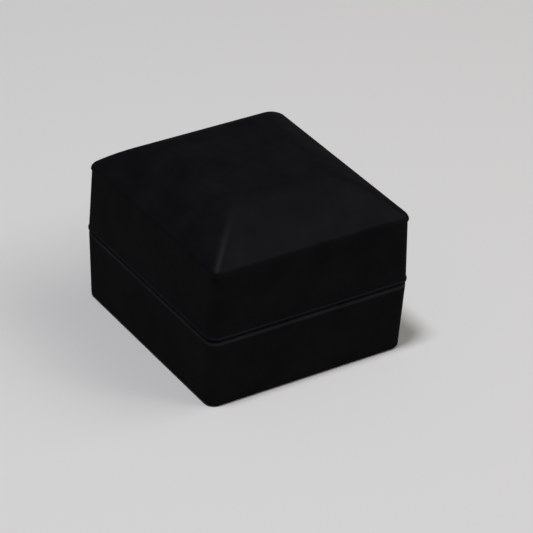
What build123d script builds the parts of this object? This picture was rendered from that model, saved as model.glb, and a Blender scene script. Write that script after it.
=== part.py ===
from build123d import *
import math
import os

os.makedirs("parts", exist_ok=True)

# A small hinged ring box. Frame: origin on the table under the middle of the box,
# +X to the box's right, -Y to its front, +Y to its hinge side, +Z up. Millimetres.

# Overall size of the closed box
WIDTH = 61.0
DEPTH = 65.0
HEIGHT = 50.0
BASE_HEIGHT = 20.35      # table to the rim of the base
SEAM_GAP = 0.5           # line between the two halves
CORNER_R = 3.2           # upright corners

# Moulded shells
WALL = 1.6               # wall at the foot of the base, its thinnest place
FLOOR = 1.8
ROOF_WALL = 1.125 * WALL # leaves a shelf over the lid's wall for the pad's board
BASE_DRAFT = 0.6         # how much narrower the foot is than the rim, on each side
LID_DRAFT = 0.5          # the same from the lid's rim to its eave
CAVITY_R = 1.5
FOOT_R = 1.0             # rounded edge round the underside
RIM_R = 0.9              # rounded outer edge of the base's rim
BAND_PROUD = 0.2         # moulded lip round the lid's rim
BAND_HEIGHT = 0.7
BAND_R = 0.15

# Lid roof: four crowned bevels that run up to a flat middle
EAVE_R = 2.0
EAVE_SLOPE = 42.5        # degrees, where the bevel leaves the eave
CREST_SLOPE = 26.0       # degrees, where it reaches the shoulder
BEVEL_WIDTH = 12.6       # level distance from the eave's curve to the shoulder
SHOULDER_R = 6.5
HIP_R = 2.4
EAVE_STEPS = 4           # sections that shape the eave's curve, the bevel and the shoulder
BEVEL_STEPS = 6
SHOULDER_STEPS = 5

# Hinge at the back
BARREL_R = 1.4
PIN_R = 0.6
PIN_FIT = 0.01           # pin pressed into the base leaf's knuckles
PIN_RUN = 0.05           # pin running in the lid leaf's knuckle
PIN_HEAD_R = 0.95
PIN_HEAD = 0.3
LEAF_T = 0.8
LEAF_WIDTH = 23.0
LEAF_LENGTH = 12.0       # height of each leaf from the hinge axis, where the lid has room
LEAF_HEADROOM = 0.5      # a leaf stays this far under the lining's top
CAM_WIDTH = 9.8          # middle knuckle, square, worked by the spring
CAM_CORNER_R = 0.6
KNUCKLE_GAP = 0.2
LEAF_CLEAR = 0.5         # past the barrel's reach, before the leaf's plate starts
SPRING_T = 0.4
SPRING_TONGUE = 6.0
SPRING_FOOT = 16.0
SPRING_FOOT_HEIGHT = 5.0
SPRING_PAST_AXIS = 1.1
SPRING_CLEAR = 0.03
WINDOW_CLEAR = 0.6       # round the barrel and at its ends
STOP_ANGLE = 51.0        # each back rim is bevelled this much; together they stop the lid

# Screws that hold the leaves
SCREW_R = 0.7
SCREW_HEAD_R = 1.4
SCREW_HEAD = 0.7
SCREW_BITE = 1.3         # length in the shell's wall
SCREW_HOLE_CLEAR = 0.1
SCREW_FIT = 0.02
SCREW_SPREAD = 12.0      # between the two screws of a leaf
SCREW_EDGE = 2.8         # screws to the leaf's end
DRIVE_SLOT = 0.35

# Linings
LINER_T = 1.2
LINER_FIT = 0.05
HINGE_POCKET = 2.2       # space for the hinge behind the linings
NECK_HEIGHT = 2.6        # the base's lining stands this far over the rim
NECK_CLEAR = 0.35
NECK_STEP = 0.4          # the step in the lining lies this far under the rim
LIP_R = 0.35             # rounded edges of the linings' lips
LEDGE_T = 0.8
LINER_SEAM = 0.5         # between the two linings when the lid is shut
NOTCH_CLEAR = 0.6

# Soft parts
CUSHION_BOARD_T = 1.5
ROLL_TOP = 3.0           # the rolls stand this far over the rim
ROLL_R = 6.0
RING_SLOT = 1.2
VELVET_T = 0.6
SOFT_FIT = 0.1
PAD_BOARD_T = 1.0
PAD_FOAM_T = 2.8
SATIN_T = 0.4
PAD_R = 2.0
SOFT_CORNER_R = 2.0      # upright corners of the rolls and the pad
ROOM_R = 1.0             # upright corners inside the linings

# Places worked out from the sizes above
CAVITY_W = WIDTH - 2 * (BASE_DRAFT + WALL)
CAVITY_D = DEPTH - 2 * (BASE_DRAFT + WALL)
LID_RIM = BASE_HEIGHT + SEAM_GAP
AXIS_Z = BASE_HEIGHT + SEAM_GAP / 2
LEAF_BACK = CAVITY_D / 2
AXIS_Y = LEAF_BACK - LEAF_T + BARREL_R
LINER_BACK = CAVITY_D / 2 - HINGE_POCKET
LINER_FRONT = -(CAVITY_D / 2 - LINER_FIT)
LINER_SIDE = CAVITY_W / 2 - LINER_FIT
NECK_TOP = BASE_HEIGHT + NECK_HEIGHT
LID_LINER_FOOT = NECK_TOP + LINER_SEAM


def roof_profile():
    """(inset from the wall, drop under the top, slope) up the roof, from the eave to the flat."""
    eave = math.radians(EAVE_SLOPE)
    crest = math.radians(CREST_SLOPE)
    points = []
    for step in range(EAVE_STEPS + 1):
        angle = math.pi / 2 + (eave - math.pi / 2) * step / EAVE_STEPS
        points.append((EAVE_R * (1 - math.sin(angle)), EAVE_R * math.cos(angle), angle))
    run, rise, _ = points[-1]
    stride = BEVEL_WIDTH / BEVEL_STEPS
    for step in range(1, BEVEL_STEPS + 1):
        middle = eave + (crest - eave) * (step - 0.5) / BEVEL_STEPS
        run += stride
        rise += stride * math.tan(middle)
        points.append((run, rise, eave + (crest - eave) * step / BEVEL_STEPS))
    start_run, start_rise = run, rise
    for step in range(1, SHOULDER_STEPS + 1):
        angle = crest * (1 - step / SHOULDER_STEPS)
        points.append((
            start_run + SHOULDER_R * (math.sin(crest) - math.sin(angle)),
            start_rise + SHOULDER_R * (math.cos(angle) - math.cos(crest)),
            angle,
        ))
    top = points[-1][1]
    return [(LID_DRAFT + inset, top - height, angle) for inset, height, angle in points]


ROOF = roof_profile()
BEVEL_END = EAVE_STEPS + BEVEL_STEPS
EAVE_Z = HEIGHT - ROOF[0][1]
INNER_ROOF = [
    (inset + ROOF_WALL * math.sin(angle), HEIGHT - drop - ROOF_WALL * math.cos(angle))
    for inset, drop, angle in ROOF[EAVE_STEPS:]
]
LINING_TOP = INNER_ROOF[0][1]
PAD_BOARD_Z = LINING_TOP - PAD_BOARD_T
PAD_BOTTOM = PAD_BOARD_Z - PAD_FOAM_T - SATIN_T
LEAF_DROP = min(LEAF_LENGTH, LINING_TOP - LEAF_HEADROOM - AXIS_Z)
SCREW_DROP = LEAF_DROP - SCREW_EDGE


def outline(inset, z, radius, width=WIDTH, depth=DEPTH):
    """A level rounded rectangle, inset from the box's outer size."""
    return Pos(0, 0, z) * RectangleRounded(width - 2 * inset, depth - 2 * inset, radius)


def block(x0, x1, y0, y1, z0, z1):
    """A square-edged block between two corners."""
    size = Box(x1 - x0, y1 - y0, z1 - z0)
    return Pos((x0 + x1) / 2, (y0 + y1) / 2, (z0 + z1) / 2) * size


def rounded_block(x0, x1, y0, y1, z0, z1, radius):
    """An upright block with rounded upright corners."""
    plan = RectangleRounded(x1 - x0, y1 - y0, radius)
    return extrude(Pos((x0 + x1) / 2, (y0 + y1) / 2, z0) * plan, z1 - z0)


def rod(x0, x1, y, z, radius):
    """A round bar along X."""
    return Pos((x0 + x1) / 2, y, z) * Rot(0, 90, 0) * Cylinder(radius, x1 - x0)


def stud(x, y0, y1, z, radius):
    """A round bar along Y."""
    return Pos(x, (y0 + y1) / 2, z) * Rot(90, 0, 0) * Cylinder(radius, y1 - y0)


def edges_at(solid, z):
    """The edges that lie level at one height."""
    return [e for e in solid.edges() if all(abs(v.Z - z) < 1e-4 for v in e.vertices())]


def hinge_window():
    """The opening through both back walls that the barrel sits in."""
    reach = BARREL_R + WINDOW_CLEAR
    half = LEAF_WIDTH / 2 + PIN_HEAD + WINDOW_CLEAR
    return block(-half, half, LEAF_BACK - LEAF_T, DEPTH, AXIS_Z - reach, AXIS_Z + reach)


def back_bevel(side):
    """The wedge cut off a back rim: side -1 is the base's, +1 the lid's."""
    far = DEPTH / 4
    fall = far * math.tan(math.radians(STOP_ANGLE))
    corners = [
        (AXIS_Y, AXIS_Z),
        (AXIS_Y + far, AXIS_Z + side * fall),
        (AXIS_Y + far, AXIS_Z - side * far),
        (AXIS_Y, AXIS_Z - side * far),
    ]
    face = Plane.YZ * Polygon(*corners, align=None)
    return extrude(face, WIDTH, both=True)


def screw_places():
    return (-SCREW_SPREAD / 2, SCREW_SPREAD / 2)


def pilot_holes(z):
    """Blind holes in a shell's back wall for a leaf's screws."""
    end = LEAF_BACK + SCREW_BITE + SCREW_FIT
    radius = SCREW_R + SCREW_FIT
    return [stud(x, LEAF_BACK - LEAF_T, end, z, radius) for x in screw_places()]


def base_shell():
    foot = outline(BASE_DRAFT, 0, CORNER_R)
    rim = outline(0, BASE_HEIGHT, CORNER_R)
    body = loft([foot, rim], ruled=True)
    body = fillet(edges_at(body, 0), FOOT_R)
    body = fillet(edges_at(body, BASE_HEIGHT), RIM_R)
    cavity = rounded_block(
        -CAVITY_W / 2, CAVITY_W / 2, -CAVITY_D / 2, CAVITY_D / 2, FLOOR, HEIGHT, CAVITY_R
    )
    body -= cavity
    body -= hinge_window()
    body -= back_bevel(-1)
    body -= pilot_holes(AXIS_Z - SCREW_DROP)
    return body


def lid_roof():
    """The solid roof from the eave up: the eave's curve, the bevels and the shoulder in turn."""
    body = None
    for first, last in ((0, EAVE_STEPS), (EAVE_STEPS, BEVEL_END), (BEVEL_END, len(ROOF) - 1)):
        sections = [outline(inset, HEIGHT - drop, HIP_R) for inset, drop, _ in ROOF[first:last + 1]]
        stage = loft(sections)
        body = stage if body is None else body + stage
    return body


def lid_roof_hollow():
    """The hollow under the roof."""
    sections = [outline(inset, z, CAVITY_R) for inset, z in INNER_ROOF]
    return loft(sections, ruled=True)


def lid_shell():
    rim = outline(0, LID_RIM, CORNER_R)
    eave = outline(LID_DRAFT, EAVE_Z, CORNER_R)
    body = loft([rim, eave], ruled=True) + lid_roof()
    band = extrude(outline(-BAND_PROUD, LID_RIM, CORNER_R + BAND_PROUD), BAND_HEIGHT)
    band_top = LID_RIM + BAND_HEIGHT
    body += fillet(edges_at(band, LID_RIM) + edges_at(band, band_top), BAND_R)
    body -= rounded_block(
        -CAVITY_W / 2, CAVITY_W / 2, -CAVITY_D / 2, CAVITY_D / 2, 0, LINING_TOP, CAVITY_R
    )
    body -= lid_roof_hollow()
    body -= hinge_window()
    body -= back_bevel(1)
    body -= pilot_holes(AXIS_Z + SCREW_DROP)
    return body


def ledge(z0, z1):
    """A shelf from a lining's back wall to the shell's, open at the hinge."""
    half = LEAF_WIDTH / 2 + NOTCH_CLEAR
    back = CAVITY_D / 2 - LINER_FIT
    left = block(-LINER_SIDE, -half, LINER_BACK, back, z0, z1)
    right = block(half, LINER_SIDE, LINER_BACK, back, z0, z1)
    corners = [e for e in (left + right).edges().filter_by(Axis.Z)
               if e.center().Y > back - 1e-4 and abs(e.center().X) > half + 1e-4]
    return fillet(corners, CAVITY_R)


def base_liner():
    """Lining frame of the base. Its neck stands up inside the shut lid."""
    step = BASE_HEIGHT - NECK_STEP
    neck_side = CAVITY_W / 2 - NECK_CLEAR
    neck_front = -(CAVITY_D / 2 - NECK_CLEAR)
    body = rounded_block(-LINER_SIDE, LINER_SIDE, LINER_FRONT, LINER_BACK, FLOOR, step, CAVITY_R)
    body += rounded_block(-neck_side, neck_side, neck_front, LINER_BACK, step, NECK_TOP, CAVITY_R)
    body -= lining_room(FLOOR, NECK_TOP)
    body = fillet(edges_at(body, NECK_TOP), LIP_R)
    return body + ledge(step - LEDGE_T, step)


def lid_liner():
    """Lining frame of the lid, under the padded board."""
    body = rounded_block(
        -LINER_SIDE, LINER_SIDE, LINER_FRONT, LINER_BACK, LID_LINER_FOOT, PAD_BOARD_Z, CAVITY_R
    )
    body -= lining_room(LID_LINER_FOOT, PAD_BOARD_Z)
    inner = [e for e in edges_at(body, LID_LINER_FOOT) if abs(e.center().X) < ROOM_SIDE + 1e-3
             and ROOM_FRONT - 1e-3 < e.center().Y < ROOM_BACK + 1e-3]
    body = fillet(inner, LIP_R)
    return body + ledge(LID_LINER_FOOT, LID_LINER_FOOT + LEDGE_T)


ROOM_SIDE = LINER_SIDE - LINER_T
ROOM_FRONT = LINER_FRONT + LINER_T
ROOM_BACK = LINER_BACK - LINER_T


def lining_room(z0, z1):
    """The clear space inside both linings."""
    return rounded_block(-ROOM_SIDE, ROOM_SIDE, ROOM_FRONT, ROOM_BACK, z0, z1, ROOM_R)


def cushion_board():
    side = ROOM_SIDE - SOFT_FIT
    top = FLOOR + CUSHION_BOARD_T
    front = ROOM_FRONT + SOFT_FIT
    back = ROOM_BACK - SOFT_FIT
    return rounded_block(-side, side, front, back, FLOOR, top, ROOM_R)


def roll_block(y0, y1, skin):
    """A cushion roll between two Y places, without a skin of some thickness."""
    side = ROOM_SIDE - SOFT_FIT - skin
    foot = FLOOR + CUSHION_BOARD_T
    top = BASE_HEIGHT + ROLL_TOP - skin
    corner = SOFT_CORNER_R - skin
    body = rounded_block(-side, side, y0 + skin, y1 - skin, foot, top, corner)
    return fillet(edges_at(body, top), ROLL_R - skin)


def roll_skin(y0, y1):
    return roll_block(y0, y1, 0) - roll_block(y0, y1, VELVET_T)


def pad_block(skin):
    """The lid's pad, without a skin of some thickness."""
    side = ROOM_SIDE - SOFT_FIT - skin
    bottom = PAD_BOTTOM + skin
    front = ROOM_FRONT + SOFT_FIT + skin
    back = ROOM_BACK - SOFT_FIT - skin
    body = rounded_block(-side, side, front, back, bottom, PAD_BOARD_Z, SOFT_CORNER_R - skin)
    return fillet(edges_at(body, bottom), PAD_R - skin)


def pad_board():
    return rounded_block(
        -LINER_SIDE, LINER_SIDE, LINER_FRONT, LINER_BACK, PAD_BOARD_Z, LINING_TOP, CAVITY_R
    )


def leaf(side, knuckles, bore):
    """A hinge leaf: side -1 hangs from the axis in the base, +1 stands in the lid."""
    start = AXIS_Z + side * (BARREL_R + LEAF_CLEAR)
    end = AXIS_Z + side * LEAF_DROP
    front = LEAF_BACK - LEAF_T
    half = LEAF_WIDTH / 2
    body = block(-half, half, front, LEAF_BACK, min(start, end), max(start, end))
    for x0, x1, knuckle in knuckles:
        body += block(x0, x1, front, LEAF_BACK, min(start, AXIS_Z), max(start, AXIS_Z))
        body += knuckle
    body -= rod(-LEAF_WIDTH, LEAF_WIDTH, AXIS_Y, AXIS_Z, bore)
    for x in screw_places():
        z = AXIS_Z + side * SCREW_DROP
        body -= stud(x, front - 1, LEAF_BACK + 1, z, SCREW_R + SCREW_HOLE_CLEAR)
    return body


def base_leaf():
    inner = CAM_WIDTH / 2 + KNUCKLE_GAP
    outer = LEAF_WIDTH / 2
    spans = ((-outer, -inner), (inner, outer))
    knuckles = [(x0, x1, rod(x0, x1, AXIS_Y, AXIS_Z, BARREL_R)) for x0, x1 in spans]
    return leaf(-1, knuckles, PIN_R + PIN_FIT)


def lid_leaf():
    half = CAM_WIDTH / 2
    side = 2 * (BARREL_R - SPRING_CLEAR)
    cam = Pos(0, AXIS_Y, AXIS_Z) * Box(CAM_WIDTH, side, side)
    cam = fillet(cam.edges().filter_by(Axis.X), CAM_CORNER_R)
    return leaf(1, [(-half, half, cam)], PIN_R + PIN_RUN)


def hinge_pin():
    half = LEAF_WIDTH / 2
    body = rod(-half, half, AXIS_Y, AXIS_Z, PIN_R)
    body += rod(-half - PIN_HEAD, -half, AXIS_Y, AXIS_Z, PIN_HEAD_R)
    return body + rod(half, half + PIN_HEAD, AXIS_Y, AXIS_Z, PIN_HEAD_R)


def hinge_spring():
    """Flat spring screwed over the base leaf. Its tongue bears on the lid leaf's square cam."""
    back = LEAF_BACK - LEAF_T
    front = back - SPRING_T
    foot = AXIS_Z - LEAF_DROP
    body = block(-SPRING_FOOT / 2, SPRING_FOOT / 2, front, back, foot, foot + SPRING_FOOT_HEIGHT)
    body = fillet(body.edges().filter_by(Axis.Y), 1.0)
    half = SPRING_TONGUE / 2
    tongue = block(-half, half, front, back, foot + 1, AXIS_Z + SPRING_PAST_AXIS)
    tips = [e for e in tongue.edges().filter_by(Axis.Y) if e.center().Z > AXIS_Z]
    body += fillet(tips, 1.0)
    for x in screw_places():
        z = AXIS_Z - SCREW_DROP
        body -= stud(x, front - 1, back + 1, z, SCREW_R + SCREW_HOLE_CLEAR)
    return body


def leaf_screws(z, seat):
    """The two screws of a leaf, with slotted pan heads that bear on the plane y = seat."""
    screws = []
    for x in screw_places():
        screw = stud(x, seat, LEAF_BACK + SCREW_BITE, z, SCREW_R)
        head = stud(x, seat - SCREW_HEAD, seat, z, SCREW_HEAD_R)
        rim = [e for e in head.edges() if abs(e.center().Y - seat + SCREW_HEAD) < 1e-4]
        head = fillet(rim, SCREW_HEAD / 3)
        slot = block(
            x - SCREW_HEAD_R, x + SCREW_HEAD_R, seat - SCREW_HEAD, seat - SCREW_HEAD + DRIVE_SLOT,
            z - DRIVE_SLOT / 2, z + DRIVE_SLOT / 2,
        )
        screws.append(screw + head - slot)
    return Compound(children=screws)


slot_middle = (ROOM_FRONT + ROOM_BACK) / 2
front_roll = (ROOM_FRONT + SOFT_FIT, slot_middle - RING_SLOT / 2)
rear_roll = (slot_middle + RING_SLOT / 2, ROOM_BACK - SOFT_FIT)
leaf_face = LEAF_BACK - LEAF_T

NODES = {
    "base_shell": base_shell(),
    "base_liner": base_liner(),
    "cushion_board": cushion_board(),
    "front_roll_foam": roll_block(*front_roll, VELVET_T),
    "front_roll_velvet": roll_skin(*front_roll),
    "rear_roll_foam": roll_block(*rear_roll, VELVET_T),
    "rear_roll_velvet": roll_skin(*rear_roll),
    "hinge_base_leaf": base_leaf(),
    "hinge_pin": hinge_pin(),
    "hinge_spring": hinge_spring(),
    "base_leaf_screws": leaf_screws(AXIS_Z - SCREW_DROP, leaf_face - SPRING_T),
    "lid_shell": lid_shell(),
    "lid_liner": lid_liner(),
    "lid_pad_board": pad_board(),
    "lid_pad_foam": pad_block(SATIN_T),
    "lid_pad_satin": pad_block(0) - pad_block(SATIN_T),
    "hinge_lid_leaf": lid_leaf(),
    "lid_leaf_screws": leaf_screws(AXIS_Z + SCREW_DROP, leaf_face),
}

for name, solid in NODES.items():
    export_step(solid, f"parts/{name}.step")
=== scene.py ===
import math

import bmesh
import bpy
from mathutils import Matrix, Vector


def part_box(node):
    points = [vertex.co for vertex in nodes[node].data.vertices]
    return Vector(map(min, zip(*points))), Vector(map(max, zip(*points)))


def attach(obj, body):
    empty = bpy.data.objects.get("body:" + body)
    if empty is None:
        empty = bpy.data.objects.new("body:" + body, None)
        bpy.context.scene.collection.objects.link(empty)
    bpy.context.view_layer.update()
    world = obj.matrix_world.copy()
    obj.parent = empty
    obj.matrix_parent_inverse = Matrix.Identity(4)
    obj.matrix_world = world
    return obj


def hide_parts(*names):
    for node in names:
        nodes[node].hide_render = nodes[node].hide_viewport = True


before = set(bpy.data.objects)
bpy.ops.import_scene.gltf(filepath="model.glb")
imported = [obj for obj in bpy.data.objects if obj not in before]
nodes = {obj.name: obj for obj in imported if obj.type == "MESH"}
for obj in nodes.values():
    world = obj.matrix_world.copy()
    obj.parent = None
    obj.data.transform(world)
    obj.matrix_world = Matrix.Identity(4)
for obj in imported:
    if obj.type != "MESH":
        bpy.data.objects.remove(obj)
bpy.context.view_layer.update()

# --- Where the box is seen from --------------------------------------------------------------
# The shut box stands with one front corner towards the viewer, seen from its front left and
# from above, through a long lens that is turned a little about its own axis.
AZIMUTH = -33.82      # degrees round the box, from straight in front of it
ELEVATION = 32.04     # degrees above the table
LENS = 188.4          # mm, focal length
DISTANCE = 0.7367     # m, from the viewer to the point aimed at
TILT = math.radians(2.72)
AIM_HEIGHT = 0.02145  # m, the point aimed at is over the middle of the foot,
AIM_RIGHT = 0.00546   # and shifted to the viewer's right
AIM_DOWN = 0.00409    # and down


def heading(azimuth, elevation):
    """Unit vector from the box towards a viewer; azimuth 0 stands in front of it."""
    a, e = math.radians(azimuth), math.radians(elevation)
    return Vector((math.sin(a) * math.cos(e), -math.cos(a) * math.cos(e), math.sin(e)))


back = heading(AZIMUTH, ELEVATION)
level = Vector((0, 0, 1)).cross(back).normalized()
upright = back.cross(level)
right = level * math.cos(TILT) + upright * math.sin(TILT)
up = back.cross(right)
eye = Vector((0, 0, AIM_HEIGHT)) + right * AIM_RIGHT - up * AIM_DOWN + back * DISTANCE

lens = bpy.data.cameras.new("viewer")
lens.lens = LENS
lens.sensor_width = 36
lens.clip_start = 0.01
viewer = bpy.data.objects.new("viewer", lens)
viewer.matrix_world = Matrix.Translation(eye) @ Matrix((right, up, back)).transposed().to_4x4()
bpy.context.scene.collection.objects.link(viewer)
bpy.context.scene.camera = viewer

# --- Moulded shells --------------------------------------------------------------------------
# Two injection-moulded ABS shells, sprayed with a soft-touch lacquer that feels like rubber. It
# is almost black and matt, with a fine spray grain, a few dust nibs and a faint broad sheen. It
# rubs paler along the edges. Round the base's rim a pale band is painted as a highlight, for the
# light line that the rim's rounded edge catches.
MM = 0.001
GRAIN = 0.35          # mm, spray grain, drawn coarser than the real 0.05 mm to show
CLOUD = 9.0           # mm, patches where hands have rubbed the lacquer, which also break up the painted rim highlight
SPECK = 1.6           # mm, spacing of the dust nibs
EDGE_RUB = 0.6        # mm, how far the rub reaches in from an edge
RIM_HIGHLIGHT_START = 1.3         # mm under the rim's top: here the painted rim highlight begins,
RIM_HIGHLIGHT_FULL = 0.7        # here it is full,
RIM_LIP = 0.4         # and from here it fades out over the top, where the lid covers it,
RIM_TOP = -0.02       # down to nothing just past the top


def linear(code):
    """An sRGB hex colour as Blender's linear RGBA."""
    parts = [int(code[i:i + 2], 16) / 255 for i in (1, 3, 5)]
    return [p / 12.92 if p <= 0.04045 else ((p + 0.055) / 1.055) ** 2.4 for p in parts] + [1.0]


def add(tree, kind, inputs, **settings):
    """Adds a node with its settings. Each input is given a value, or a link from a socket or
    from another node's first output in use."""
    node = tree.nodes.new("ShaderNode" + kind)
    for name, value in settings.items():
        setattr(node, name, value)
    for name, value in inputs.items():
        if isinstance(value, bpy.types.Node):
            value = next(socket for socket in value.outputs if socket.enabled)
        if isinstance(value, bpy.types.NodeSocket):
            tree.links.new(value, node.inputs[name])
        else:
            node.inputs[name].default_value = value
    return node


def blank(name):
    """A new material with no nodes but its place on the piece, in millimetres."""
    material = bpy.data.materials.new(name)
    material.use_nodes = True
    tree = material.node_tree
    tree.nodes.clear()
    metres = add(tree, "TexCoord", {}).outputs["Object"]
    return material, tree, add(tree, "Mapping", {"Vector": metres, "Scale": (1 / MM,) * 3})


def dress(material, *names):
    """Gives CAD nodes a material in place of their plain one."""
    for name in names:
        nodes[name].data.materials.clear()
        nodes[name].data.materials.append(material)


lacquer, tree, place = blank("soft_touch_lacquer_on_ABS")
grain = add(tree, "TexNoise", {"Vector": place, "Scale": 1 / GRAIN})
cloud = add(tree, "TexNoise", {"Vector": place, "Scale": 1 / CLOUD, "Detail": 4.0, "Roughness": 0.6})
patch = add(tree, "MapRange", {"Value": cloud, "From Min": 0.35, "From Max": 0.7})
tone = {"Factor": patch, "A": linear("#0d0d0e"), "B": linear("#121213")}
tone = add(tree, "Mix", tone, data_type="RGBA")

softened = add(tree, "Bevel", {"Radius": EDGE_RUB * MM}, samples=6)
plain = add(tree, "NewGeometry", {}).outputs["Normal"]
along = add(tree, "VectorMath", {0: softened, 1: plain}, operation="DOT_PRODUCT")
rub = add(tree, "MapRange", {"Value": along, "From Min": 0.99, "From Max": 0.86})
worn = add(tree, "Math", {0: rub, 1: cloud}, operation="MULTIPLY")
tone = add(tree, "Mix", {"Factor": worn, "A": tone, "B": linear("#242427")}, data_type="RGBA")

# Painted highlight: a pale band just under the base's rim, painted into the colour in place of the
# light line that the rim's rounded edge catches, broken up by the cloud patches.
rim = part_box("base_shell")[1][2] / MM
upward = add(tree, "SeparateXYZ", {"Vector": place}).outputs["Z"]
onto = add(tree, "MapRange", {"Value": upward, "From Min": rim - RIM_HIGHLIGHT_START, "From Max": rim - RIM_HIGHLIGHT_FULL})
past = {"Value": upward, "From Min": rim - RIM_LIP, "From Max": rim - RIM_TOP, "To Min": 1, "To Max": 0}
past = add(tree, "MapRange", past)
painted_rim_highlight = add(tree, "Math", {0: onto, 1: past}, operation="MULTIPLY")
patch = add(tree, "MapRange", {"Value": cloud, "From Min": 0.3, "From Max": 0.7, "To Min": 0.6})
painted_rim_highlight = add(tree, "Math", {0: painted_rim_highlight, 1: patch}, operation="MULTIPLY")
tone = add(tree, "Mix", {"Factor": painted_rim_highlight, "A": tone, "B": linear("#2c2c2f")}, data_type="RGBA")

nib = add(tree, "TexVoronoi", {"Vector": place, "Scale": 1 / SPECK})
nib = add(tree, "MapRange", {"Value": nib, "From Max": 0.06, "To Min": 1, "To Max": 0})
height = add(tree, "Math", {0: grain, 1: nib}, operation="ADD")
relief = add(tree, "Bump", {"Height": height, "Strength": 0.25, "Distance": 0.03 * MM})
surface = add(tree, "BsdfPrincipled", {
    "Base Color": tone, "Roughness": 0.8, "Specular IOR Level": 0.0, "Normal": relief,
    "Coat Weight": 0.05, "Coat Roughness": 0.43, "Coat IOR": 1.5, "Coat Normal": relief,
})
add(tree, "OutputMaterial", {"Surface": surface})
dress(lacquer, "base_shell", "lid_shell")

# --- Linings ---------------------------------------------------------------------------------
# Thin moulded frames that line both halves, flocked with short black nylon fibres. They look
# like fine suede: no gloss at all, a pale bloom at glancing angles, and a faintly uneven nap.
FIBRE = 0.3           # mm, real flock is 0.05 mm across and drawn coarser to show
NAP = 5.0             # mm, patches of nap that lie different ways

flock, tree, place = blank("nylon_flock")
fibre = add(tree, "TexNoise", {"Vector": place, "Scale": 1 / FIBRE, "Detail": 3.0, "Roughness": 0.7})
tone = {"Factor": fibre, "A": linear("#0c0c0c"), "B": linear("#1c1c1d")}
tone = add(tree, "Mix", tone, data_type="RGBA")
nap = add(tree, "TexNoise", {"Vector": place, "Scale": 1 / NAP, "Detail": 3.0})
bloom = add(tree, "MapRange", {"Value": nap, "From Min": 0.4, "From Max": 0.65, "To Max": 0.6})
tone = add(tree, "Mix", {"Factor": bloom, "A": tone, "B": linear("#222223")}, data_type="RGBA")
relief = add(tree, "Bump", {"Height": fibre, "Strength": 0.6, "Distance": 0.08 * MM})
surface = add(tree, "BsdfPrincipled", {
    "Base Color": tone, "Roughness": 0.95, "Specular IOR Level": 0.1, "Normal": relief,
    "Sheen Weight": 0.25, "Sheen Roughness": 0.5, "Sheen Tint": linear("#8a8988"),
})
add(tree, "OutputMaterial", {"Surface": surface})
dress(flock, "base_liner", "lid_liner")

# --- Boards ----------------------------------------------------------------------------------
# Greyboard cut to size, glued under the ring cushion and behind the lid's pad. Recycled pulp:
# a dull grey brown with darker and paler flecks, and a soft unpressed surface.
FLECK = 0.9           # mm, flecks of old print and straw in the pulp
PULP = 6.0            # mm, cloudy patches of the sheet

greyboard, tree, place = blank("greyboard")
pulp = add(tree, "TexNoise", {"Vector": place, "Scale": 1 / PULP, "Detail": 3.0})
patch = add(tree, "MapRange", {"Value": pulp, "From Min": 0.35, "From Max": 0.65})
tone = {"Factor": patch, "A": linear("#8d8880"), "B": linear("#a29c92")}
tone = add(tree, "Mix", tone, data_type="RGBA")
fleck = add(tree, "TexNoise", {"Vector": place, "Scale": 1 / FLECK, "Detail": 4.0, "Roughness": 0.75})
print_fleck = add(tree, "MapRange", {"Value": fleck, "From Min": 0.62, "From Max": 0.7, "To Max": 0.7})
tone = add(tree, "Mix", {"Factor": print_fleck, "A": tone, "B": linear("#57524b")}, data_type="RGBA")
straw_fleck = add(tree, "MapRange", {"Value": fleck, "From Min": 0.36, "From Max": 0.3, "To Max": 0.6})
tone = add(tree, "Mix", {"Factor": straw_fleck, "A": tone, "B": linear("#c9c3b6")}, data_type="RGBA")
relief = add(tree, "Bump", {"Height": fleck, "Strength": 0.4, "Distance": 0.06 * MM})
surface = {"Base Color": tone, "Roughness": 0.92, "Specular IOR Level": 0.25, "Normal": relief}
surface = add(tree, "BsdfPrincipled", surface)
add(tree, "OutputMaterial", {"Surface": surface})
dress(greyboard, "cushion_board", "lid_pad_board")

# --- Ring cushion ----------------------------------------------------------------------------
# Two foam rolls, each wrapped in black velvet that is glued under it, pressed in side by side.
# The ring stands in the slot between them. The cover is drawn tight, so the tops are crowned.
BIG = 10              # covers are worked at ten times their size, which suits the cloth solver
CELL = 0.7            # mm, faces of a cover while it is worked
SIM_FRAMES = 20
ARC_STEPS = 8
ROLL_R = 6.0          # mm, rounded top edges of a roll
ROLL_CORNER = 2.0     # mm, its upright corners,
ROLL_WIDENING = 0.6   # which widen by this share of the inset towards the top
ROLL_SLACK = 0.05     # the velvet is cut this share larger than the foam, so it puckers
ROLL_PRESSURE = 4.0   # push of the foam from inside
ROLL_CROWN = 1.3      # mm, how far the cover may move as it swells
FREE_ABOVE = 2.0      # mm under its top the cover is still free,
HELD_BELOW = 8.0      # and from here down it is pinched between the foam and the lining
SLOT_HALF = 0.12      # mm, each roll stays this far from the slot's middle
PILE = 0.28           # mm, real velvet pile is 0.1 mm apart and drawn coarser to show
BRUSHED = 7.0         # mm, patches of pile stroked different ways


def stack(sections):
    """A closed form in millimetres through level rounded rectangles (low, high, corner, z)."""
    form = bmesh.new()
    rings = []
    for low, high, corner, z in sections:
        ring = []
        for side_x, side_y, start in ((1, 1, 0), (-1, 1, 90), (-1, -1, 180), (1, -1, 270)):
            x = (high.x if side_x > 0 else low.x) - side_x * corner
            y = (high.y if side_y > 0 else low.y) - side_y * corner
            for step in range(ARC_STEPS + 1):
                a = math.radians(start + 90 * step / ARC_STEPS)
                point = (x + corner * math.cos(a), y + corner * math.sin(a), z)
                ring.append(form.verts.new(point))
        rings.append(ring)
    for one, other in zip(rings, rings[1:]):
        for i in range(len(one)):
            j = (i + 1) % len(one)
            form.faces.new((one[i], one[j], other[j], other[i]))
    form.faces.new(list(reversed(rings[0])))
    form.faces.new(rings[-1])
    bmesh.ops.recalc_face_normals(form, faces=form.faces)
    return form


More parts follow.
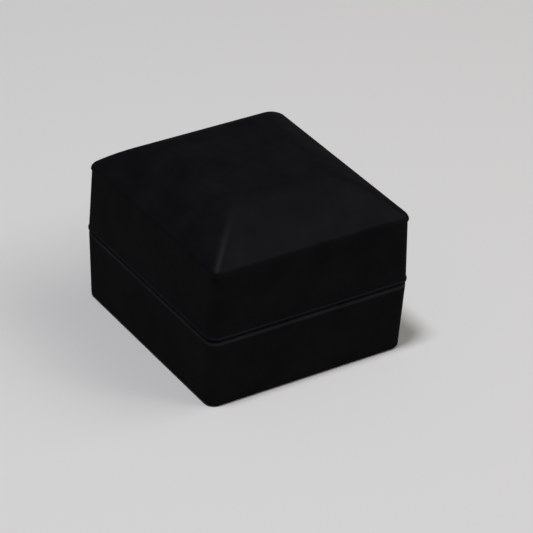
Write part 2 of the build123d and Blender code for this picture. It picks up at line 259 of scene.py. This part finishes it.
def evened(name, form):
    """Turns a form into an object with even faces, at the working size."""
    mesh = bpy.data.meshes.new(name)
    bmesh.ops.scale(form, vec=(BIG * MM,) * 3, verts=form.verts)
    form.to_mesh(mesh)
    form.free()
    piece = bpy.data.objects.new(name, mesh)
    bpy.context.scene.collection.objects.link(piece)
    remesh = piece.modifiers.new("even", "REMESH")
    remesh.mode = "VOXEL"
    remesh.voxel_size = CELL * BIG * MM
    settled = piece.evaluated_get(bpy.context.evaluated_depsgraph_get())
    piece.data = bpy.data.meshes.new_from_object(settled)
    piece.data.name = name
    piece.modifiers.clear()
    return piece


def stuff(piece, hold, slack, pressure, reach, keep):
    """Swells a cover with cloth. hold gives 0 to 1 for how fast a point in mm is fixed, reach is
    how far it may move, and keep puts a moved point back inside the cover's space."""
    start = [v.co / (BIG * MM) for v in piece.data.vertices]
    moved = start
    fixed = piece.vertex_groups.new(name="fixed")
    for i, point in enumerate(start):
        fixed.add([i], hold(point), "REPLACE")
    swell = piece.modifiers.new("swell", "CLOTH")
    cloth = swell.settings
    cloth.quality = 7
    cloth.mass = 0.25
    cloth.tension_stiffness = cloth.compression_stiffness = 12
    cloth.shear_stiffness = 6
    cloth.bending_stiffness = 0.3
    cloth.use_pressure = True
    cloth.uniform_pressure_force = pressure
    cloth.shrink_min = -slack
    cloth.vertex_group_mass = "fixed"
    cloth.effector_weights.gravity = 0
    swell.point_cache.frame_start = 1
    swell.point_cache.frame_end = SIM_FRAMES
    for moment in range(1, SIM_FRAMES + 1):
        bpy.context.scene.frame_set(moment)
    swollen = piece.evaluated_get(bpy.context.evaluated_depsgraph_get()).data
    moved = [v.co / (BIG * MM) for v in swollen.vertices]
    piece.modifiers.clear()
    piece.vertex_groups.clear()
    bpy.context.scene.frame_set(1)
    for vertex, old, new in zip(piece.data.vertices, start, moved):
        step = new - old
        if step.length > reach:
            step *= reach / step.length
        vertex.co = keep(old + step) * MM
    for face in piece.data.polygons:
        face.use_smooth = True
    piece.modifiers.new("smooth", "SUBSURF").levels = 1


def corners(*names):
    """The lowest and highest corners of CAD nodes, in millimetres."""
    lows, highs = zip(*(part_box(name) for name in names))
    low = Vector(min(p[i] for p in lows) for i in range(3))
    high = Vector(max(p[i] for p in highs) for i in range(3))
    return low / MM, high / MM


def pinched(point):
    """How fast a roll's cover is held at a point: free at the top, fixed lower down."""
    depth = high.z - point.z
    return min(max((depth - FREE_ABOVE) / (HELD_BELOW - FREE_ABOVE), 0), 1)


def seated(point):
    """Keeps a roll's cover inside the lining, and off the other roll."""
    x = min(max(point.x, low.x), high.x)
    y = max(min(point.y, high.y), low.y)
    if inner_side > 0 and point.y > high.y:
        y = min(point.y, middle - SLOT_HALF)
    if inner_side < 0 and point.y < low.y:
        y = max(point.y, middle + SLOT_HALF)
    return Vector((x, y, max(point.z, low.z)))


velvet, tree, place = blank("cotton_velvet")
pile = add(tree, "TexNoise", {"Vector": place, "Scale": 1 / PILE, "Detail": 3.0, "Roughness": 0.7})
tone = {"Factor": pile, "A": linear("#070707"), "B": linear("#131314")}
tone = add(tree, "Mix", tone, data_type="RGBA")
brushed = {"Vector": place, "Scale": 1 / BRUSHED, "Detail": 3.0, "Roughness": 0.55}
brushed = add(tree, "TexNoise", brushed)
stroke = add(tree, "MapRange", {"Value": brushed, "From Min": 0.42, "From Max": 0.62, "To Max": 0.8})
tone = add(tree, "Mix", {"Factor": stroke, "A": tone, "B": linear("#1d1d1f")}, data_type="RGBA")
relief = add(tree, "Bump", {"Height": pile, "Strength": 0.7, "Distance": 0.1 * MM})
relief = {"Height": brushed, "Strength": 0.5, "Distance": 0.6 * MM, "Normal": relief}
relief = add(tree, "Bump", relief)
surface = add(tree, "BsdfPrincipled", {
    "Base Color": tone, "Roughness": 0.95, "Specular IOR Level": 0.08, "Normal": relief,
    "Sheen Weight": 0.6, "Sheen Roughness": 0.35, "Sheen Tint": linear("#7e7d7e"),
})
add(tree, "OutputMaterial", {"Surface": surface})

room_low, room_high = corners("front_roll_velvet", "rear_roll_velvet")
middle = (room_low.y + room_high.y) / 2
for name, inner_side in (("front_roll", 1), ("rear_roll", -1)):
    low, high = corners(name + "_velvet")
    sections = [(low, high, ROLL_CORNER, low.z)]
    for step in range(ARC_STEPS + 1):
        a = math.pi / 2 * step / ARC_STEPS
        inset = ROLL_R * (1 - math.cos(a))
        edge = Vector((inset, inset, 0))
        z = high.z - ROLL_R + ROLL_R * math.sin(a)
        sections.append((low + edge, high - edge, ROLL_CORNER + ROLL_WIDENING * inset, z))
    roll = evened(name + "_cover", stack(sections))
    stuff(roll, pinched, ROLL_SLACK, ROLL_PRESSURE, ROLL_CROWN, seated)
    roll.data.materials.append(velvet)
    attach(roll, "base")
    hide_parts(name + "_velvet", name + "_foam")

# --- Lid pad ---------------------------------------------------------------------------------
# A thin sheet of foam wrapped in ivory satin, turned over a board and glued, so the satin
# puckers all round where it is turned. Long floats of thread lie one way and give it a soft
# directed shine.
PAD_R = 2.0           # mm, rounded edge of the pad
PAD_CORNER = 2.0      # mm, its upright corners,
PAD_WIDENING = 0.4    # which widen by this share of the inset towards the bottom
PAD_SLACK = 0.08      # the satin is cut this share larger than the foam, so it puckers
PAD_PRESSURE = 3.0    # push of the foam from inside
PAD_CROWN = 1.1       # mm, how far the satin may bulge
TURN_FREE = 1.6       # mm under the board the satin is free,
TURN_FIXED = 0.8      # and from here up it is glued
FLOAT = 0.45          # mm, real satin floats are 0.1 mm apart and drawn coarser to show
SLUB = 1.2            # mm, thickness of the uneven places in the thread
SLUB_DRAWN = 0.12     # their thickness as a share of their length, along X
SHADE = 14.0          # mm, patches that take the light differently


def turned(point):
    """How fast the satin is held at a point: fixed at the board, free a little below it."""
    depth = high.z - point.z
    return min(max((TURN_FREE - depth) / (TURN_FREE - TURN_FIXED), 0), 1)


def framed(point):
    """Keeps the pad inside the lid's lining and off the board."""
    x = min(max(point.x, low.x), high.x)
    y = min(max(point.y, low.y), high.y)
    return Vector((x, y, min(point.z, high.z)))


satin, tree, place = blank("woven_satin")
shade = add(tree, "TexNoise", {"Vector": place, "Scale": 1 / SHADE})
shade = add(tree, "MapRange", {"Value": shade, "From Min": 0.35, "From Max": 0.65})
tone = {"Factor": shade, "A": linear("#dcd2bd"), "B": linear("#e8dfcc")}
tone = add(tree, "Mix", tone, data_type="RGBA")
drawn_out = add(tree, "Mapping", {"Vector": place, "Scale": (SLUB_DRAWN, 1.0, 1.0)})
slub = add(tree, "TexNoise", {"Vector": drawn_out, "Scale": 1 / SLUB, "Detail": 3.0, "Roughness": 0.6})
thick = add(tree, "MapRange", {"Value": slub, "From Min": 0.45, "From Max": 0.7, "To Max": 0.5})
tone = add(tree, "Mix", {"Factor": thick, "A": tone, "B": linear("#cfc3ab")}, data_type="RGBA")
floats = {"Vector": place, "Scale": 2 / math.tau / FLOAT, "Distortion": 1.2, "Detail Scale": 0.6}
floats = add(tree, "TexWave", floats, bands_direction="Y").outputs["Fac"]
height = add(tree, "Math", {0: floats, 1: slub}, operation="ADD")
relief = add(tree, "Bump", {"Height": height, "Strength": 0.18, "Distance": 0.05 * MM})
rough = {"Value": slub, "From Min": 0.3, "From Max": 0.7, "To Min": 0.3, "To Max": 0.42}
rough = add(tree, "MapRange", rough)
surface = add(tree, "BsdfPrincipled", {
    "Base Color": tone, "Roughness": rough, "IOR": 1.5, "Specular IOR Level": 0.6,
    "Anisotropic": 0.6, "Sheen Weight": 0.3, "Sheen Roughness": 0.3,
    "Sheen Tint": linear("#fff6e4"), "Normal": relief,
})
add(tree, "OutputMaterial", {"Surface": surface})

low, high = corners("lid_pad_satin")
sections = [(low, high, PAD_CORNER, high.z)]
for step in range(ARC_STEPS + 1):
    a = math.pi / 2 * step / ARC_STEPS
    inset = PAD_R * (1 - math.cos(a))
    edge = Vector((inset, inset, 0))
    z = low.z + PAD_R - PAD_R * math.sin(a)
    sections.append((low + edge, high - edge, PAD_CORNER + PAD_WIDENING * inset, z))
pad = evened("lid_pad_cover", stack(sections))
stuff(pad, turned, PAD_SLACK, PAD_PRESSURE, PAD_CROWN, framed)
pad.data.materials.append(satin)
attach(pad, "lid")
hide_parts("lid_pad_satin", "lid_pad_foam")

# --- Hinge leaves, pin and screws ------------------------------------------------------------
# Leaves stamped from sheet steel with rolled knuckles, on a steel pin, and pan-head screws. All
# are nickel plated: bright and slightly warm, with the faint straight lines of rolled sheet.
ROLLED = 0.16         # mm, spacing of the rolling lines, drawn coarser than real
ROLLED_DRAWN = 0.06   # their spacing as a share of their length
SMUDGE = 3.5          # mm, smudges left by fingers
BRIGHT_EDGE = 0.25    # mm, how far the bright stamped edges reach in

nickel, tree, place = blank("nickel_plated_steel")
smudge = {"Vector": place, "Scale": 1 / SMUDGE, "Detail": 4.0, "Roughness": 0.6}
smudge = add(tree, "TexNoise", smudge)
patch = add(tree, "MapRange", {"Value": smudge, "From Min": 0.35, "From Max": 0.7})
tone = {"Factor": patch, "A": linear("#b4b0a6"), "B": linear("#9f9a8f")}
tone = add(tree, "Mix", tone, data_type="RGBA")
softened = add(tree, "Bevel", {"Radius": BRIGHT_EDGE * MM}, samples=6)
plain = add(tree, "NewGeometry", {}).outputs["Normal"]
along = add(tree, "VectorMath", {0: softened, 1: plain}, operation="DOT_PRODUCT")
rub = add(tree, "MapRange", {"Value": along, "From Min": 0.98, "From Max": 0.8, "To Max": 0.8})
tone = add(tree, "Mix", {"Factor": rub, "A": tone, "B": linear("#d4d1ca")}, data_type="RGBA")
rolled = add(tree, "Mapping", {"Vector": place, "Scale": (ROLLED_DRAWN, 1.0, 1.0)})
lines = add(tree, "TexNoise", {"Vector": rolled, "Scale": 1 / ROLLED, "Roughness": 0.6})
dull = {"Value": smudge, "From Min": 0.3, "From Max": 0.7, "To Min": 0.22, "To Max": 0.4}
dull = add(tree, "MapRange", dull)
scored = {"Value": lines, "From Min": 0.3, "From Max": 0.7, "To Min": -0.04, "To Max": 0.06}
scored = add(tree, "MapRange", scored)
rough = add(tree, "Math", {0: dull, 1: scored}, operation="ADD")
relief = add(tree, "Bump", {"Height": lines, "Strength": 0.15, "Distance": 0.02 * MM})
surface = add(tree, "BsdfPrincipled", {
    "Base Color": tone, "Metallic": 1.0, "Roughness": rough, "Anisotropic": 0.4, "Normal": relief,
})
add(tree, "OutputMaterial", {"Surface": surface})
dress(nickel, "hinge_base_leaf", "hinge_lid_leaf", "hinge_pin", "base_leaf_screws", "lid_leaf_screws")

# --- Hinge spring ----------------------------------------------------------------------------
# A flat strip of hardened spring steel over the base leaf, blued in the furnace. It is dark and
# slightly glossy, with patches that run from blue to straw where the heat varied.
HEAT = 4.0            # mm, patches of temper colour

blued, tree, place = blank("blued_spring_steel")
heat = add(tree, "TexNoise", {"Vector": place, "Scale": 1 / HEAT})
purple = add(tree, "MapRange", {"Value": heat, "From Min": 0.35, "From Max": 0.6})
tone = {"Factor": purple, "A": linear("#39414f"), "B": linear("#4b4651")}
tone = add(tree, "Mix", tone, data_type="RGBA")
straw = add(tree, "MapRange", {"Value": heat, "From Min": 0.6, "From Max": 0.75, "To Max": 0.8})
tone = add(tree, "Mix", {"Factor": straw, "A": tone, "B": linear("#6d5c46")}, data_type="RGBA")
rolled = add(tree, "Mapping", {"Vector": place, "Scale": (1.0, 1.0, ROLLED_DRAWN)})
lines = add(tree, "TexNoise", {"Vector": rolled, "Scale": 1 / ROLLED, "Roughness": 0.6})
rough = {"Value": lines, "From Min": 0.3, "From Max": 0.7, "To Min": 0.28, "To Max": 0.4}
rough = add(tree, "MapRange", rough)
relief = add(tree, "Bump", {"Height": lines, "Strength": 0.15, "Distance": 0.02 * MM})
surface = {"Base Color": tone, "Metallic": 1.0, "Roughness": rough, "Normal": relief}
surface = add(tree, "BsdfPrincipled", surface)
add(tree, "OutputMaterial", {"Surface": surface})
dress(blued, "hinge_spring")

# --- Table and light -------------------------------------------------------------------------
# A plain pale paper table in an even dim light. A small lamp hangs overhead, a broad one stands
# beside the box to the right, and a small weak one in front picks out the near edges.
TABLE_SIDE = 6        # m
ROOM_LIGHT = 0.14

bpy.ops.mesh.primitive_plane_add(size=TABLE_SIDE)
table = bpy.context.object
table.name = "table"
paper, tree, place = blank("pale_paper")
surface = {"Base Color": linear("#cfccc6"), "Roughness": 0.9, "Specular IOR Level": 0.2}
surface = add(tree, "BsdfPrincipled", surface)
add(tree, "OutputMaterial", {"Surface": surface})
table.data.materials.append(paper)


def lamp(name, way, distance, size, power, colour="#ffffff"):
    """A soft square lamp that shines at the box, in metres and watts."""
    light = bpy.data.lights.new(name, "AREA")
    light.size = size
    light.energy = power
    light.color = linear(colour)[:3]
    holder = bpy.data.objects.new(name, light)
    holder.location = way * distance
    holder.rotation_euler = way.to_track_quat("Z", "Y").to_euler()
    bpy.context.scene.collection.objects.link(holder)


lamp("overhead", Vector((-0.2, -0.06, 0.97)), distance=1.1, size=0.18, power=9, colour="#f0f4ff")
lamp("beside", Vector((0.55, -0.3, 0.78)), distance=1.3, size=0.9, power=5)
lamp("front_edge", Vector((0.47, -0.54, 0.71)), distance=1.2, size=0.25, power=1)
world = bpy.data.worlds.new("studio")
bpy.context.scene.world = world
world.use_nodes = True
world.node_tree.nodes["Background"].inputs["Color"].default_value = (1, 1, 1, 1)
world.node_tree.nodes["Background"].inputs["Strength"].default_value = ROOM_LIGHT
bpy.context.scene.view_settings.view_transform = "Standard"
